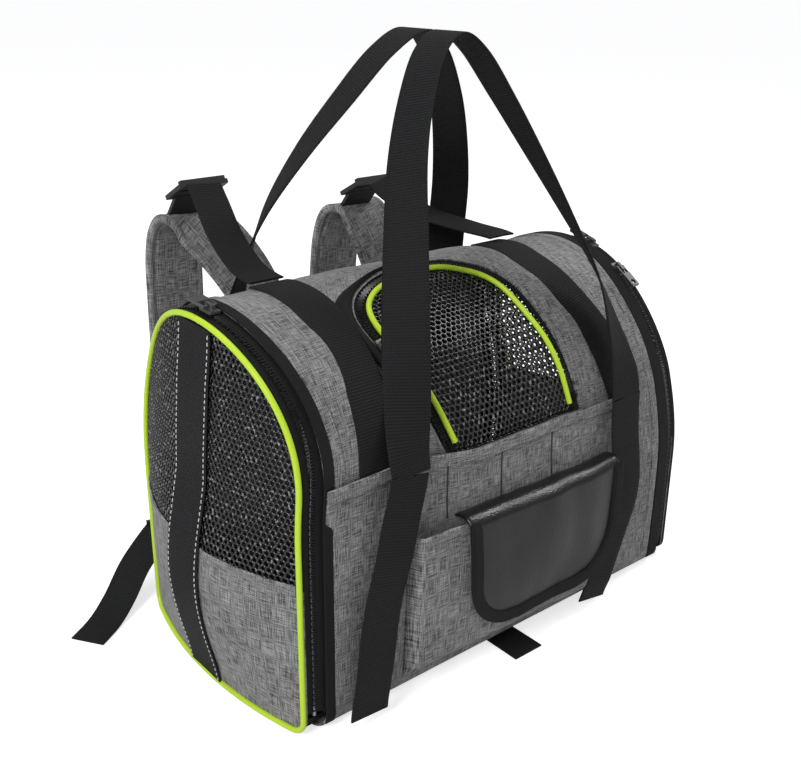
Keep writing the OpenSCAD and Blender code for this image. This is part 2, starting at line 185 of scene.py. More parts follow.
def refine(v, f, longest):
    """Splits triangles until no edge is longer than the given length."""
    for _ in range(9):
        edges = np.stack([f[:, [0, 1]], f[:, [1, 2]], f[:, [2, 0]]], 1).reshape(-1, 2)
        pairs, back = np.unique(np.sort(edges, axis=1), axis=0, return_inverse=True)
        long = np.linalg.norm(v[pairs[:, 0]] - v[pairs[:, 1]], axis=1) > longest
        if not long.any():
            break
        middle = np.full(len(pairs), -1)
        middle[long] = len(v) + np.arange(long.sum())
        v = np.vstack([v, (v[pairs[long, 0]] + v[pairs[long, 1]]) / 2])
        m = middle[back.reshape(-1)].reshape(-1, 3)
        done = []
        for turn in range(3):
            a, b, c = (f[:, (turn + k) % 3] for k in range(3))
            ab, bc, ca = (m[:, (turn + k) % 3] for k in range(3))
            one = (ab >= 0) & (bc < 0) & (ca < 0)
            two = (ab >= 0) & (bc >= 0) & (ca < 0)
            done += [np.stack([a, ab, c], 1)[one], np.stack([ab, b, c], 1)[one]]
            done += [np.stack([a, ab, c], 1)[two], np.stack([ab, b, bc], 1)[two],
                     np.stack([ab, bc, c], 1)[two]]
        a, b, c = f.T
        ab, bc, ca = m.T
        three = (m >= 0).all(1)
        none = (m < 0).all(1)
        done += [f[none], np.stack([a, ab, ca], 1)[three], np.stack([ab, b, bc], 1)[three],
                 np.stack([ca, bc, c], 1)[three], np.stack([ab, bc, ca], 1)[three]]
        f = np.vstack(done)
    return v, f


def build(name, points, faces, uv, material, sharp=40):
    """A new mesh object from points in mm, with one UV pair in mm for each point."""
    mesh = bpy.data.meshes.new(name)
    mesh.from_pydata([tuple(p) for p in np.asarray(points, float) * MM], [],
                     [tuple(int(i) for i in f) for f in faces])
    layer = mesh.uv_layers.new(name="UVMap")
    index = np.zeros(len(mesh.loops), np.int32)
    mesh.loops.foreach_get("vertex_index", index)
    layer.data.foreach_set("uv", (np.asarray(uv, float)[index] * MM).astype(np.float32).ravel())
    mesh.polygons.foreach_set("use_smooth", [True] * len(mesh.polygons))
    mesh.set_sharp_from_angle(angle=math.radians(sharp))
    mesh.materials.append(material)
    mesh.update()
    obj = bpy.data.objects.new(name, mesh)
    bpy.context.scene.collection.objects.link(obj)
    return obj


def settle(obj, body, slot, *nodes):
    """Joins a piece to its body, in place of the CAD nodes named. The slot argument is not used.
    """
    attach(obj, body)
    if nodes:
        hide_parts(*nodes)
    return obj


def repaint(node, material):
    """Gives a CAD node a material."""
    NODES[node].data.materials.clear()
    NODES[node].data.materials.append(material)


def bake(obj):
    """Applies the object's modifiers."""
    graph = bpy.context.evaluated_depsgraph_get()
    mesh = bpy.data.meshes.new_from_object(obj.evaluated_get(graph))
    obj.modifiers.clear()
    obj.data = mesh
    return obj


def round_edges(obj, width, segments=2):
    bevel = obj.modifiers.new("edges", "BEVEL")
    bevel.width = width * MM
    bevel.segments = segments
    bevel.limit_method = "ANGLE"
    bevel.angle_limit = math.radians(35)


def tunnel_uv(p):
    return np.stack([p[:, 0], girth(p[:, 1], p[:, 2])], 1)


def softened(name, node, body, slot, material, move, uv=tunnel_uv, longest=7.0, sharp=40):
    """Copy of a soft CAD node, cut fine and moved to where the cloth lies."""
    v, f = refine(*cad_arrays(node), longest)
    obj = build(name, move(v), f, uv(v), material, sharp)
    return settle(obj, body, slot, node)


def spline(points, steps):
    """Smooth line through the given points, which carry any number of columns."""
    p = np.asarray(points, float)
    out = []
    for i in range(len(p) - 1):
        a, b, c, d = p[max(i - 1, 0)], p[i], p[i + 1], p[min(i + 2, len(p) - 1)]
        for k in range(steps):
            u = k / steps
            out.append(0.5 * (2 * b + (c - a) * u + (2 * a - 5 * b + 4 * c - d) * u * u
                              + (3 * b - a - 3 * c + d) * u ** 3))
    return np.array(out + [p[-1]])


def tangents(path, closed=False):
    if closed:
        return unit(np.roll(path, -1, 0) - np.roll(path, 1, 0))
    return unit(np.gradient(path, axis=0))


def run_length(path):
    return np.concatenate([[0], np.cumsum(np.linalg.norm(np.diff(path, axis=0), axis=1))])


def along(start, s, *lines):
    """Each line's value at the distance start, where s is the run length at its points."""
    return [np.array([np.interp(start, s, q[:, k]) for k in range(3)]) for q in lines]


def sweep(name, path, across, profile, material, closed=False, sharp=40):
    """Sweeps a closed profile of (across, out) offsets along a path, across in that direction."""
    path = np.asarray(path, float)
    t = tangents(path, closed)
    a = np.broadcast_to(np.asarray(across, float), path.shape)
    a = unit(a - (a * t).sum(1, keepdims=True) * t)
    n = np.cross(t, a)
    profile = np.asarray(profile, float)
    m, count = len(profile), len(path)
    points = (path[:, None] + a[:, None] * profile[None, :, 0, None]
              + n[:, None] * profile[None, :, 1, None]).reshape(-1, 3)
    s = run_length(path)
    uv = np.stack([np.tile(profile[:, 0], count), np.repeat(s, m)], 1)
    faces = []
    for i in range(count if closed else count - 1):
        j = (i + 1) % count
        faces += [(i * m + k, i * m + (k + 1) % m, j * m + (k + 1) % m, j * m + k)
                  for k in range(m)]
    if not closed:
        faces += [tuple(range(m - 1, -1, -1)), tuple((count - 1) * m + k for k in range(m))]
    return build(name, points, faces, uv, material, sharp)


def ribbon(width, thick, crown=0.0):
    """Section of a flat band with rounded edges."""
    h, r = width / 2, thick / 2
    top = [(w, r + crown * (1 - (w / h) ** 2)) for w in np.linspace(-h + r, h - r, 9)]
    bottom = [(w, -r) for w in np.linspace(h - r, -h + r, 9)]
    return top + [(h - 0.3 * r, 0.6 * r), (h, 0), (h - 0.3 * r, -0.6 * r)] + bottom + [
        (-h + 0.3 * r, -0.6 * r), (-h, 0), (-h + 0.3 * r, 0.6 * r)]


def circle(r, n=12):
    turns = [2 * math.pi * k / n for k in range(n)]
    return [(r * math.cos(a), r * math.sin(a)) for a in turns]


def grid(name, points, uv, material, thick=0.0, sharp=50):
    """Sheet over a rows x columns array of points, given a thickness on its inner side."""
    rows, cols = points.shape[:2]
    index = np.arange(rows * cols).reshape(rows, cols)
    corners = [index[:-1, :-1], index[:-1, 1:], index[1:, 1:], index[1:, :-1]]
    faces = np.stack(corners, -1).reshape(-1, 4)
    obj = build(name, points.reshape(-1, 3), faces, uv.reshape(-1, 2), material, sharp)
    if thick:
        solid = obj.modifiers.new("thickness", "SOLIDIFY")
        solid.thickness = abs(thick) * MM
        solid.offset = math.copysign(1, thick)
        bake(obj)
    return obj


# ---------- materials ----------
class Shader:
    """A principled material whose nodes are added one by one."""

    def __init__(self, name, color=(0.5, 0.5, 0.5), rough=0.6, metal=0.0, gloss=0.5):
        self.mat = bpy.data.materials.new(name)
        self.mat.use_nodes = True
        self.tree = self.mat.node_tree
        self.base = self.tree.nodes["Principled BSDF"]
        self.base.inputs["Base Color"].default_value = (*color, 1)
        self.base.inputs["Roughness"].default_value = rough
        self.base.inputs["Metallic"].default_value = metal
        self.base.inputs["Specular IOR Level"].default_value = gloss

    def put(self, value, socket):
        if isinstance(value, bpy.types.NodeSocket):
            self.tree.links.new(value, socket)
        else:
            socket.default_value = value

    def node(self, kind, inputs=(), **settings):
        n = self.tree.nodes.new("ShaderNode" + kind)
        for key, value in settings.items():
            setattr(n, key, value)
        for key, value in dict(inputs).items():
            self.put(value, n.inputs[key])
        return n

    def math(self, operation, a, b=0.0, c=0.0):
        return self.node("Math", {0: a, 1: b, 2: c}, operation=operation).outputs[0]

    def uv(self, su=1.0, sv=1.0):
        source = self.node("UVMap").outputs["UV"]
        return self.node("Mapping", {"Vector": source, "Scale": (su, sv, 1)}).outputs["Vector"]

    def noise(self, vector, scale=1.0, detail=2.0, rough=0.5):
        return self.node("TexNoise", {"Vector": vector, "Scale": scale, "Detail": detail,
                                      "Roughness": rough}).outputs["Fac"]

    def spread(self, value, low, high, to_low=0.0, to_high=1.0):
        return self.node("MapRange", {"Value": value, "From Min": low, "From Max": high,
                                      "To Min": to_low, "To Max": to_high}).outputs["Result"]

    def blend(self, factor, a, b):
        n = self.node("Mix", data_type="RGBA")
        self.put(factor, n.inputs["Factor"])
        self.put((*a, 1) if len(a) == 3 else a, n.inputs[6])
        self.put((*b, 1) if len(b) == 3 else b, n.inputs[7])
        return n.outputs[2]

    def bump(self, height, distance, strength=1.0):
        n = self.node("Bump", {"Height": height, "Distance": distance * MM, "Strength": strength})
        self.tree.links.new(n.outputs["Normal"], self.base.inputs["Normal"])

    def color(self, socket):
        self.tree.links.new(socket, self.base.inputs["Base Color"])


def heather(name, dark, light):
    """Linen-look polyester: light and dark slubs along both threads."""
    s = Shader(name, rough=0.82, gloss=0.25)
    along = s.noise(s.uv(85, 1500), detail=5, rough=0.62)
    across = s.noise(s.uv(1600, 62), detail=5, rough=0.62)
    cloud = s.noise(s.uv(22, 22), detail=2)
    both = s.math("MULTIPLY", s.math("ADD", along, across), 0.5)
    thread = s.spread(both, 0.42, 0.60)
    shade = s.math("MULTIPLY_ADD", cloud, 0.35, -0.17)
    s.color(s.blend(s.math("ADD", thread, shade), dark, light))
    s.bump(both, 0.5, 0.7)
    s.base.inputs["Sheen Weight"].default_value = 0.15
    return s.mat


def woven(name, dark, light, pitch_u, pitch_v, rough=0.62):
    """Ribbed webbing: short floats in columns."""
    s = Shader(name, rough=rough, gloss=0.22)
    parts = s.node("SeparateXYZ", {0: s.node("UVMap").outputs["UV"]})
    u = s.math("MULTIPLY", parts.outputs[0], 2 * math.pi / (pitch_u * MM))
    v = s.math("MULTIPLY", parts.outputs[1], 2 * math.pi / (pitch_v * MM))
    shift = s.math("MULTIPLY", s.math("SIGN", s.math("SINE", u)), 0.7)
    rib = s.spread(s.math("SINE", s.math("ADD", v, shift)), -1, 1)
    column = s.spread(s.math("ABSOLUTE", s.math("SINE", u)), 0, 0.5)
    height = s.math("MULTIPLY", rib, s.math("MULTIPLY_ADD", column, 0.6, 0.4))
    s.color(s.blend(height, dark, light))
    s.bump(height, 0.45, 0.9)
    return s.mat


def glossy_mesh(name):
    """Black knitted mesh whose strands carry small painted glints: light grey specks that stand in
    for reflected light.
    """
    black = (0.0045, 0.0045, 0.005)
    s = Shader(name, black, 0.24, gloss=0.75)
    # painted highlight: noise specks on the strands turn light grey, standing in for glints of
    # light
    painted_glint = s.spread(s.noise(s.uv(420, 300), detail=1), 0.60, 0.68)
    s.color(s.blend(painted_glint, black, (0.26, 0.26, 0.27)))
    return s.mat


def plain(name, color, rough, grain=0.0, size=300.0, metal=0.0, gloss=0.5):
    """One colour, with a fine grain where grain, its height in mm, isn't zero."""
    s = Shader(name, color, rough, metal, gloss)
    if grain:
        s.bump(s.noise(s.node("TexCoord").outputs["Object"], size, 3), grain, 0.6)
    return s.mat


def leather(name):
    """Black leatherette: small pebbles over soft folds."""
    s = Shader(name, (0.0035, 0.0035, 0.0038), 0.33, gloss=0.6)
    place = s.node("TexCoord").outputs["Object"]
    cell = s.node("TexVoronoi", {"Vector": place, "Scale": 620.0}).outputs["Distance"]
    fold = s.noise(place, 26.0, 3)
    s.bump(s.math("MULTIPLY_ADD", fold, 0.5, cell), 0.3, 0.55)
    s.put(s.spread(fold, 0.3, 0.7, 0.27, 0.40), s.base.inputs["Roughness"])
    return s.mat


GREY = heather("heather grey", (0.026, 0.026, 0.028), (0.44, 0.437, 0.432))
# painted light: a slightly lighter copy of the heather grey, so the shoulder pads look more lit
LIT_GREY_PAD = heather("heather grey pad", (0.028, 0.028, 0.030), (0.46, 0.458, 0.452))
WEB = woven("black webbing", (0.004, 0.004, 0.0045), (0.017, 0.0175, 0.019), 2.6, 2.3)
TAPE = woven("black tape", (0.006, 0.006, 0.007), (0.022, 0.022, 0.024), 1.2, 1.0, 0.7)
MESH = glossy_mesh("black mesh")
LIME = plain("lime vinyl", (0.58, 0.83, 0.038), 0.40, gloss=0.4)
COIL = plain("zip coil", (0.012, 0.012, 0.013), 0.34, gloss=0.55)
LEATHER = leather("black leatherette")
PLASTIC = plain("black plastic", (0.013, 0.013, 0.014), 0.38, 0.05, 400)
METAL = plain("gunmetal", (0.13, 0.13, 0.135), 0.42, 0.03, 500, metal=0.75)
STEEL = plain("spring steel", (0.45, 0.45, 0.46), 0.35, 0.02, 300, metal=1.0)
COATED = plain("coated base cloth", (0.016, 0.016, 0.018), 0.75, 0.12, 500)
BOARD = plain("greyboard", (0.035, 0.034, 0.033), 0.85, 0.1, 300)
FLEECE = plain("grey fleece", (0.09, 0.09, 0.095), 0.95, 1.2, 260, gloss=0.1)
THREAD = plain("white thread", (0.72, 0.72, 0.70), 0.7)
# painted shade: dark grey standing for the shadow along the front panel's seams
SEAM_SHADOW = plain("seam shadow", (0.035, 0.035, 0.036), 0.9)


# ---------- tunnel body ----------
softened("shell_cloth", "shell_panel", "shell", "heather_fabric", GREY, soft)
for which in ("near_zip_tape", "far_zip_tape", "window_zip_tape"):
    softened(which + "_cloth", which, "shell", "zip_tape", TAPE, soft, longest=8)
softened("window_tape_cloth", "window_tape", "window", "zip_tape", TAPE, soft, longest=8)
for which, body, material, slot in (("hoop_near", "shell", STEEL, "spring_steel"),
                                    ("hoop_far", "shell", STEEL, "spring_steel"),
                                    ("near_door_tape", "near_door", TAPE, "zip_tape"),
                                    ("far_door_tape", "far_door", TAPE, "zip_tape")):
    softened(which + "_settled", which, body, slot, material, slump, longest=9)
repaint("base_panel", COATED)
repaint("base_board", BOARD)
repaint("base_mat", FLEECE)
round_edges(NODES["base_mat"], 5, 4)


# ---------- end doors ----------
def door_bulge(y, z):
    """How far a door's slack cloth stands out, most of it at the skirt."""
    y, z = np.asarray(y, float), np.asarray(z, float)
    rise = np.sin(math.pi * np.clip(z / 190, 0, 1)) ** 1.5
    return np.clip(1 - (y / 114) ** 2, 0, 1) * (15 * rise + 2.5 * smooth((z - 60) / 120)
                                               * smooth((318 - z) / 60))


def section(inset, count=96):
    """Closed outline of the tunnel's section, shrunk by inset: (y, z) from the bottom middle."""
    side, r = HALF_W - inset, FOOT_R - inset
    corner = HALF_W - FOOT_R
    quarter = np.linspace(0, math.pi / 2, 8)
    pts = [(y, inset) for y in np.linspace(0, -corner, 14)[:-1]]
    pts += [(-corner - r * math.sin(a), FOOT_R - r * math.cos(a)) for a in quarter[:-1]]
    pts += [(-side, z) for z in np.linspace(FOOT_R, ARCH_Z, 24)[:-1]]
    pts += [(-side * math.cos(a), ARCH_Z + side * math.sin(a))
            for a in np.linspace(0, math.pi, count)]
    pts += [(side, z) for z in np.linspace(ARCH_Z, FOOT_R, 24)[1:]]
    pts += [(corner + r * math.sin(a), FOOT_R - r * math.cos(a)) for a in quarter[::-1][1:]]
    pts += [(y, inset) for y in np.linspace(corner, 0, 14)[1:-1]]
    return np.array(pts)


def hexagons(low, high, keep, clamp, lift=0.3):
    """Flat sheet of six-sided cells with a round hole each: points, ridge heights and faces."""
    radius = CELL / math.sqrt(3)
    points, heights, faces, known = [], [], [], {}
    row = 0
    v = low[1]
    ring = [(math.cos(math.pi / 6 * k + math.pi / 6), math.sin(math.pi / 6 * k + math.pi / 6))
            for k in range(12)]
    while v <= high[1]:
        u = low[0] + (CELL / 2 if row % 2 else 0)
        while u <= high[0]:
            if keep(u, v):
                outer, inner = [], []
                for k, (c, s) in enumerate(ring):
                    reach = radius if k % 2 == 0 else radius * math.cos(math.pi / 6)
                    at = (u + reach * c, v + reach * s)
                    key = (round(at[0], 2), round(at[1], 2))
                    if key not in known:
                        known[key] = len(points)
                        points.append(clamp(*at))
                        heights.append(lift)
                    outer.append(known[key])
                    inner.append(len(points))
                    points.append(clamp(u + HOLE * CELL / 2 * c, v + HOLE * CELL / 2 * s))
                    heights.append(-lift)
                faces += [(outer[k], outer[(k + 1) % 12], inner[(k + 1) % 12], inner[k])
                          for k in range(12)]
            u += CELL
        v += CELL * math.sqrt(3) / 2
        row += 1
    return np.array(points), np.array(heights), faces


def netting(name, flat, heights, faces, place, body, node):
    """Turns a flat sheet of cells into strands with thickness on the given surface."""
    obj = build(name, place(flat, heights), faces, flat, MESH, 80)
    solid = obj.modifiers.new("strands", "SOLIDIFY")
    solid.thickness = STRAND * MM
    solid.offset = 0
    bake(obj)
    obj.data.polygons.foreach_set("use_smooth", [True] * len(obj.data.polygons))
    return settle(obj, body, "mesh", node)


def stitches(name, path, normal, across, offsets, body):
    """Rows of short raised stitches along a path."""
    s = run_length(path)
    t, a, n = tangents(path), unit(across), unit(normal)
    a, n = np.broadcast_to(a, path.shape), np.broadcast_to(n, path.shape)
    points, faces = [], []
    pattern = [(-1, -1), (1, -1), (1, 1), (-1, 1)]
    for off in offsets:
        for start in np.arange(STITCH_PITCH, s[-1] - STITCH_PITCH, STITCH_PITCH):
            at, dt, da, dn = along(start, s, path, t, a, n)
            b = len(points)
            for h, shrink in ((0.0, 1.0), (STITCH_HIGH, 0.6)):
                for i, j in pattern:
                    points.append(at + da * (off + j * STITCH_WIDE / 2 * shrink) + dn * h
                                  + dt * (i * STITCH_LENGTH / 2 * shrink))
            faces += [(b + k, b + (k + 1) % 4, b + 4 + (k + 1) % 4, b + 4 + k) for k in range(4)]
            faces += [(b + 4, b + 5, b + 6, b + 7), (b + 3, b + 2, b + 1, b)]
    points = np.array(points)
    obj = build(name, points, faces, points[:, :2], THREAD, 60)
    return settle(obj, body, "zip_tape")


def coil(name, path, across, wide, node):
    """Zip coil on the shell: one rounded bar after another, across the path."""
    s = run_length(path)
    t = tangents(path)
    a = unit(np.broadcast_to(np.asarray(across, float), path.shape))
    n = unit(np.cross(t, a))
    points, faces = [], []
    bar = [(-0.8, 0.0), (-0.55, 0.75), (0.0, 1.0), (0.55, 0.75), (0.8, 0.0), (0.0, -0.9)]
    for count, start in enumerate(np.arange(0, s[-1], COIL_PITCH)):
        at, dt, da, dn = along(start, s, path, t, a, n)
        shift = 0.5 if count % 2 else -0.5
        b = len(points)
        for end in (-1, 1):
            for i, j in bar:
                points.append(at + da * (end * wide / 2 + shift) + dt * i * 0.95 + dn * j)
        m = len(bar)
        faces += [(b + k, b + (k + 1) % m, b + m + (k + 1) % m, b + m + k) for k in range(m)]
        faces += [tuple(range(b + m - 1, b - 1, -1)), tuple(b + m + k for k in range(m))]
    points = np.array(points)
    obj = build(name, points, faces, points[:, :2], COIL, 50)
    return settle(obj, "shell", "zip_teeth", node)


def door(side, end):
    """Everything on one end door. side is -1 at the near end and 1 at the far end."""
    near, body = side < 0, end + "_door"
    full = NEAR_BULGE if near else FAR_BULGE
    net_r = 114.5

    def on_face(y, z, out):
        y, z, out = np.broadcast_arrays(np.asarray(y, float), z, out)
        face = end_x(np.clip(y, -DOOR_HALF, DOOR_HALF), 0)
        return slump(np.stack([side * (face + full * door_bulge(y, z) + out), y, z], -1))

    def move(v):
        p = v.copy()
        p[:, 0] += side * full * door_bulge(v[:, 1], v[:, 2])
        crease = waves(v[:, 1], v[:, 2], 30, 45, 2 + side)
        p[:, 0] += side * 1.2 * crease * (np.abs(v[:, 1]) < 110)
        return slump(p)

    def clamp(u, v):
        """Pulls a point of the netting back inside its outline."""
        if v < ARCH_Z:
            return (max(-net_r, min(net_r, u)), max(v, SKIRT_Z - 4))
        r = math.hypot(u, v - ARCH_Z)
        k = min(1.0, net_r / max(r, 1e-6))
        return (u * k, ARCH_Z + (v - ARCH_Z) * k)

    def keep(u, v):
        reach = net_r + 2.5
        return abs(u) < reach if v < ARCH_Z else math.hypot(u, v - ARCH_Z) < reach

    def ring(inset, out):
        outline = section(inset)
        x = side * (end_x(outline[:, 0], 0) + out)
        return slump(np.stack([x, outline[:, 0], outline[:, 1]], 1))

    made = [softened(end + "_skirt_cloth", end + "_door_skirt", body, "heather_fabric", GREY, move,
                     lambda v: v[:, 1:], 6)]
    flat, heights, faces = hexagons((-DOOR_HALF, SKIRT_Z - 3), (DOOR_HALF, 318), keep, clamp)
    if not near:
        faces = [f[::-1] for f in faces]
    made.append(netting(end + "_door_net", flat, heights, faces,
                        lambda f, h: on_face(f[:, 0], f[:, 1], h - 1.0), body, end + "_door_mesh"))

    piping = sweep(end + "_piping_cord", ring(5.0 if near else 10.5, 0.9), (side, 0, 0),
                   circle(PIPING_R), LIME, closed=True)
    made.append(settle(piping, body, "piping", end + "_door_piping"))
    if not near:
        edge = sweep(end + "_door_edge", ring(5.2, 0.3), (side, 0, 0), ribbon(5.5, 3), TAPE,
                     closed=True)
        settle(edge, body, "zip_tape")

    z = np.linspace(4, 311, 80)
    band = sweep(end + "_band_web", on_face(0, z, 0.9), (0, 1, 0), ribbon(46, 1.6), WEB)
    made.append(settle(band, body, "zip_tape", end + "_door_band"))
    made.append(stitches(end + "_band_stitches", on_face(0, z, 1.7), (side, 0, 0), (0, 1, 0),
                         (-20.5, 20.5), body))
    top = np.linspace(-112, 112, 60)
    under_band = np.abs(top) < 25
    hem = sweep(end + "_skirt_hem", on_face(top, SKIRT_Z, 0.4 - 1.3 * under_band), (0, 0, 1),
                ribbon(9, 1.6), GREY)
    made.append(settle(hem, body, "heather_fabric"))
    if near:
        # Each piece of the near door gets its own copy of its mesh.
        for obj in made + [bpy.data.objects["near_door_tape_settled"]]:
            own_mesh(obj)


door(-1, "near")
door(1, "far")


def end_zip(side, end):
    """Zip coil round one end of the tunnel, and the binding and seam behind it."""
    near = side < 0
    outline = section(2.6)
    outline = outline[outline[:, 1] > 22]
    path = slump(np.stack([side * end_x(outline[:, 0], 9.1), outline[:, 0], outline[:, 1]], 1))
    coil(end + "_zip_coil", path, (1, 0, 0), 4.6, end + "_zip_teeth")
    strips = (("binding", 19.5 if near else 21.5, 9 if near else 14, 0.5, 8, TAPE, "zip_tape"),
              ("seam", 28.5 if near else 34, 9, 0.2, 17, GREY, "heather_fabric"))
    for part, inset, wide, proud, low, material, slot in strips:
        outline = section(-proud)
        outline = outline[outline[:, 1] > low]
        x = side * end_x(np.clip(outline[:, 0], -DOOR_HALF, DOOR_HALF), inset)
        path = soft(np.stack([x, outline[:, 0], outline[:, 1]], 1))
        strip = sweep(end + "_end_" + part, path, (1, 0, 0), ribbon(wide, 1.5), material)
        settle(strip, "shell", slot)


end_zip(-1, "near")
end_zip(1, "far")


# ---------- window ----------
def on_arch(x, c, r):
    """Point of the tunnel, at radius r, straight out from (x, c) of the window's flat outline."""
    x, c = np.asarray(x, float), np.asarray(c, float)
    p, q = c / ROOT2 - HALF_W, c / ROOT2
    under = np.maximum(2 * HALF_W ** 2 - 4 * (p * p + q * q - r * r), 0)
    h = (-ROOT2 * HALF_W + np.sqrt(under)) / 2
    return np.stack([x, p - h / ROOT2, ARCH_Z + q + h / ROOT2], -1)


def window_outline(k, low, count=64):
    """Open outline of the window grown by k, from its near foot over the top, as (x, c)."""
    centre, r = WIN_H - WIN_R, WIN_R + k
    legs = np.linspace(low - 30, centre, 26)
    pts = [(-r, c) for c in legs[:-1]]
    pts += [(-r * math.cos(a), centre + r * math.sin(a)) for a in np.linspace(0, math.pi, count)]
    pts += [(r, c) for c in legs[::-1][1:]]
    c, s = math.cos(WIN_LEAN), math.sin(WIN_LEAN)
    pts = np.array(pts) @ np.array([[c, s], [-s, c]])
    return pts[pts[:, 1] >= low]


def radial(path):
    """Directions straight out from the arch's axis."""
    out = np.zeros_like(path)
    out[:, 1], out[:, 2] = path[:, 1], path[:, 2] - ARCH_Z
    return unit(out)


def arch_line(k, low, r):
    """A window line, lying where the cloth lies."""
    flat = window_outline(k, low)
    return soft(on_arch(flat[:, 0], flat[:, 1], r))


line = arch_line(-5.9, 8, 120.4)
settle(sweep("window_piping_cord", line, radial(line), circle(PIPING_R), LIME), "window", "piping",
       "window_piping")
line = arch_line(1.1, 14, 118.8)
coil("window_zip_coil", line, np.cross(tangents(line), radial(line)), 4.4, "window_zip_teeth")


def window_net():
    """Netting of the window, laid out by x and by the distance s up the arch."""
    cos, sin, centre, r = math.cos(WIN_LEAN), math.sin(WIN_LEAN), WIN_H - WIN_R, WIN_R - 4.6
    radius = 117.4

    def chord_of(s):
        a = s / radius
        return (HALF_W - radius * math.cos(a) + radius * math.sin(a)) / ROOT2

    def upright(u, c):
        return u * cos + c * sin, -u * sin + c * cos

    def keep(u, s):
        a, b = upright(u, chord_of(s))
        side = abs(a) if b < centre else math.hypot(a, b - centre)
        return chord_of(s) > 6 and side < r + 3

    def clamp(u, s):
        a, b = upright(u, max(chord_of(s), 7.6))
        if b < centre:
            a = max(-r, min(r, a))
        else:
            k = min(1.0, r / max(math.hypot(a, b - centre), 1e-6))
            a, b = a * k, centre + (b - centre) * k
        return (a * cos - b * sin, a * sin + b * cos)

    def place(f, h):
        return soft(on_arch(f[:, 0], np.clip(f[:, 1], 7.2, 168), radius + h))

    flat, heights, faces = hexagons((-125, 8), (90, 185), keep, clamp)
    netting("window_net", flat, heights, faces, place, "window", "window_mesh")


window_net()


# ---------- front panel and pocket ----------
def front_out(x, z):
    """How far the stuffed front pocket stands out, at a point of the front."""
    hump = np.clip(1 - (x / 108) ** 2, 0, 1) * np.sin(math.pi * np.clip((z + 10) / 215, 0, 1))
    return 5.5 * hump


def panel_lip(z):
    """The front panel's top edge stands a little off the tunnel."""
    return 1.5 * smooth((z - 170) / 36)


def pocket_out(x, z):
    """How far the pocket stands off the front panel, falling to nothing at its sewn sides."""
    return smooth((POCKET_X - np.abs(x)) / 7) * (11.0 * smooth((z - 18) / 14) + front_out(x, z))


def front_sheet(name, xs, zs, y, out, node):
    x, z = np.meshgrid(xs, zs)
    flat = np.stack([x.ravel(), np.full(x.size, y), z.ravel()], 1)
    p = soft(flat)
    p[:, 1] -= out(flat[:, 0], flat[:, 2])
    obj = grid(name, p.reshape(*x.shape, 3), np.stack([x, z], -1), GREY, -1.6)
    return settle(obj, "shell", "heather_fabric", node)


def front_line(xs, y, z):
    """Line along the front at one height, where the cloth lies."""
    return soft(np.stack([xs, np.full(len(xs), y), np.full(len(xs), z)], 1))


front_sheet("front_panel", np.linspace(*PANEL_X, 120), np.linspace(PANEL_LOW, 206, 60), PANEL_Y,
            lambda x, z: panel_lip(z), "pocket_back")
front_sheet("pocket_sheet", np.linspace(-POCKET_X, POCKET_X, 100),
            np.linspace(PANEL_LOW, POCKET_TOP, 50), POCKET_Y, pocket_out, "pocket_front")

x = np.linspace(-124, 124, 90)
hem = front_line(x, POCKET_Y, POCKET_TOP)
hem[:, 1] -= pocket_out(x, POCKET_TOP) + 0.2
settle(sweep("pocket_hem", hem, (0, 0, 1), ribbon(9, 3.0), GREY), "shell", "heather_fabric")
hem = front_line(np.linspace(-198, 127, 110), PANEL_Y, PANEL_TOP)
hem[:, 1] -= 2.2
settle(sweep("front_panel_hem", hem, (0, 0, 1), ribbon(11, 2.6), GREY), "shell", "heather_fabric")

# Three dark strips down the upper front: painted shadow along its seams.
for count, x in enumerate((-84.0, -26.0, 34.0)):
    z = np.linspace(150, 200, 20)
    path = soft(np.stack([np.full(20, x), np.full(20, PANEL_Y), z], 1))
    path[:, 1] -= panel_lip(z)
    seam = sweep("front_seam_%d" % count, path, (1, 0, 0), ribbon(1.6, 1.0), SEAM_SHADOW)
    settle(seam, "shell", "heather_fabric")


def gusset():
    """Dark folded flap that lies beside the window's zip on the near side."""
    width, columns = 20, 9
    base = window_outline(9.0, 26)
    base = base[:np.argmax(base[:, 1]) - 4]
    t = np.linspace(0, 1, len(base))
    rows = []
    for share in np.linspace(0, 1, columns):
        reach = width * np.sin(math.pi * np.clip(t * 1.05, 0, 1)) ** 1.2 * share
        flat = base + np.stack([-reach, 0.25 * reach], 1)
        on_tunnel = on_arch(flat[:, 0], flat[:, 1], HALF_W)
        lift = 1.2 + 3.0 * math.sin(math.pi * share)
        rows.append(soft(on_tunnel) + radial(on_tunnel) * lift)
    uv = np.stack([np.repeat(run_length(base)[:, None], columns, 1),
                   np.repeat(np.linspace(0, width, columns)[None], len(base), 0)], -1)
    obj = grid("window_gusset", np.stack(rows, 1), uv, TAPE, 1.0)
    settle(obj, "shell", "zip_tape")


gusset()


# ---------- pocket flap ----------
def flap_profile():
    """Side view of the flap from under the front panel, over the fold and down: (y, z)."""
    pts = [(-122.4, 151.0), (-128, 152.8), (-133.5, 153.2), (-137.5, 151.8), (-140.2, 148.2),
           (-140.8, 142), (-140.8, 130), (-140.6, 110), (-140.4, 90), (-140.0, 70), (-139.6, 46)]
    return spline(np.array(pts), 6)


